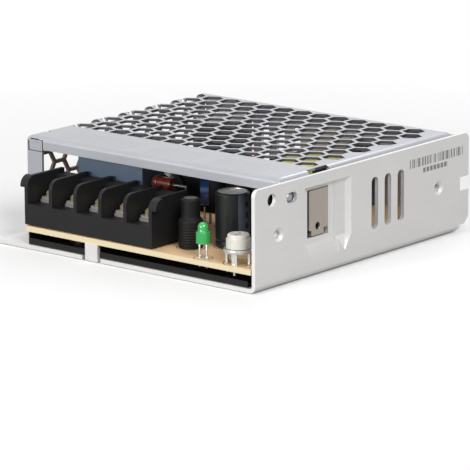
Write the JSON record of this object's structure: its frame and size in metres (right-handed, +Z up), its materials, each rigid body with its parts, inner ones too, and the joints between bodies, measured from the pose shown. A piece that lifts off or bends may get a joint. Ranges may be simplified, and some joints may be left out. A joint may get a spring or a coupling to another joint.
{
  "type": "mesh case switching power supply",
  "caption": "Enclosed switching power supply with a hexagon mesh cover, a folded aluminium chassis and a screw terminal block.",
  "frame": {"origin": "centre of the case's footprint, on the outside of the base", "axes": "+X to the right seen from the terminals, +Y to the rear, +Z up through the mesh cover"},
  "size_m": [0.097, 0.099, 0.03],
  "materials": {
    "chassis_metal": "satin",
    "cover_metal": "satin",
    "black_film": "satin",
    "board_laminate": "satin",
    "plated_metal": "satin",
    "black_plastic": "matte",
    "gold_screw": "satin",
    "green_lamp": "gloss",
    "pale_plastic": "satin",
    "black_sleeve": "satin",
    "capacitor_sleeve": "satin",
    "capacitor_box": "satin",
    "ferrite": "matte",
    "copper_wire": "gloss",
    "brown_coating": "gloss",
    "dark_coating": "gloss",
    "blue_coating": "gloss",
    "yellow_tape": "gloss",
    "spring_steel": "satin",
    "resistor_coating": "satin"
  },
  "bodies": {
    "case": {"chassis": "chassis_metal", "mesh_cover": "cover_metal", "insulating_film": "black_film", "circuit_board": "board_laminate", "board_standoffs": "plated_metal", "board_screws": "plated_metal", "terminal_block": "black_plastic", "terminal_plates": "plated_metal", "status_lamp": "green_lamp", "lamp_legs": "plated_metal", "trimmer_frame": "plated_metal", "front_choke": "black_sleeve", "output_capacitor_front": "capacitor_sleeve", "output_capacitor_rear": "capacitor_sleeve", "bulk_capacitor": "capacitor_sleeve", "filter_capacitor": "capacitor_box", "filter_choke_core": "ferrite", "filter_choke_coils": "copper_wire", "input_fuse": "brown_coating", "inrush_thermistor": "dark_coating", "bridge_rectifier": "black_plastic", "suppressor_disc": "blue_coating", "output_choke": "copper_wire", "transformer_core": "ferrite", "transformer_bobbin": "black_plastic", "transformer_winding": "yellow_tape", "output_diode": "black_plastic", "spring_clip": "spring_steel", "switching_transistor": "black_plastic", "heat_spreader": "chassis_metal", "control_chip": "black_plastic", "optocoupler": "pale_plastic", "board_resistors": "resistor_coating"},
    "knob": {"trimmer_knob": "pale_plastic"},
    "clamp_1": {"clamp_washer_1": "plated_metal"},
    "screw_1": {"terminal_screw_1": "gold_screw"},
    "clamp_2": {"clamp_washer_2": "plated_metal"},
    "screw_2": {"terminal_screw_2": "gold_screw"},
    "clamp_3": {"clamp_washer_3": "plated_metal"},
    "screw_3": {"terminal_screw_3": "gold_screw"},
    "clamp_4": {"clamp_washer_4": "plated_metal"},
    "screw_4": {"terminal_screw_4": "gold_screw"},
    "clamp_5": {"clamp_washer_5": "plated_metal"},
    "screw_5": {"terminal_screw_5": "gold_screw"}
  },
  "joints": [
    {"name": "trimmer_turn", "type": "hinge", "parent": "case", "child": "knob", "pos_m": [0.0388, -0.0449, 0.013], "axis": [0, 0, 1], "range_deg": [-105, 105]},
    {"name": "clamp_1_lift", "type": "slide", "parent": "case", "child": "clamp_1", "axis": [0, 0, 1], "range_m": [0, 0.003]},
    {"name": "screw_1_turn", "type": "hinge", "parent": "clamp_1", "child": "screw_1", "pos_m": [-0.03315, -0.0405, 0.015], "axis": [0, 0, 1], "range_deg": [0, 1800]},
    {"name": "clamp_2_lift", "type": "slide", "parent": "case", "child": "clamp_2", "axis": [0, 0, 1], "range_m": [0, 0.003]},
    {"name": "screw_2_turn", "type": "hinge", "parent": "clamp_2", "child": "screw_2", "pos_m": [-0.02365, -0.0405, 0.015], "axis": [0, 0, 1], "range_deg": [0, 1800]},
    {"name": "clamp_3_lift", "type": "slide", "parent": "case", "child": "clamp_3", "axis": [0, 0, 1], "range_m": [0, 0.003]},
    {"name": "screw_3_turn", "type": "hinge", "parent": "clamp_3", "child": "screw_3", "pos_m": [-0.01415, -0.0405, 0.015], "axis": [0, 0, 1], "range_deg": [0, 1800]},
    {"name": "clamp_4_lift", "type": "slide", "parent": "case", "child": "clamp_4", "axis": [0, 0, 1], "range_m": [0, 0.003]},
    {"name": "screw_4_turn", "type": "hinge", "parent": "clamp_4", "child": "screw_4", "pos_m": [-0.00465, -0.0405, 0.015], "axis": [0, 0, 1], "range_deg": [0, 1800]},
    {"name": "clamp_5_lift", "type": "slide", "parent": "case", "child": "clamp_5", "axis": [0, 0, 1], "range_m": [0, 0.003]},
    {"name": "screw_5_turn", "type": "hinge", "parent": "clamp_5", "child": "screw_5", "pos_m": [0.00485, -0.0405, 0.015], "axis": [0, 0, 1], "range_deg": [0, 1800]}
  ],
  "couplings": [
    {"joint": "screw_1_turn", "follows": "clamp_1_lift", "rad_per_m": 10472},
    {"joint": "screw_2_turn", "follows": "clamp_2_lift", "rad_per_m": 10472},
    {"joint": "screw_3_turn", "follows": "clamp_3_lift", "rad_per_m": 10472},
    {"joint": "screw_4_turn", "follows": "clamp_4_lift", "rad_per_m": 10472},
    {"joint": "screw_5_turn", "follows": "clamp_5_lift", "rad_per_m": 10472}
  ]
}
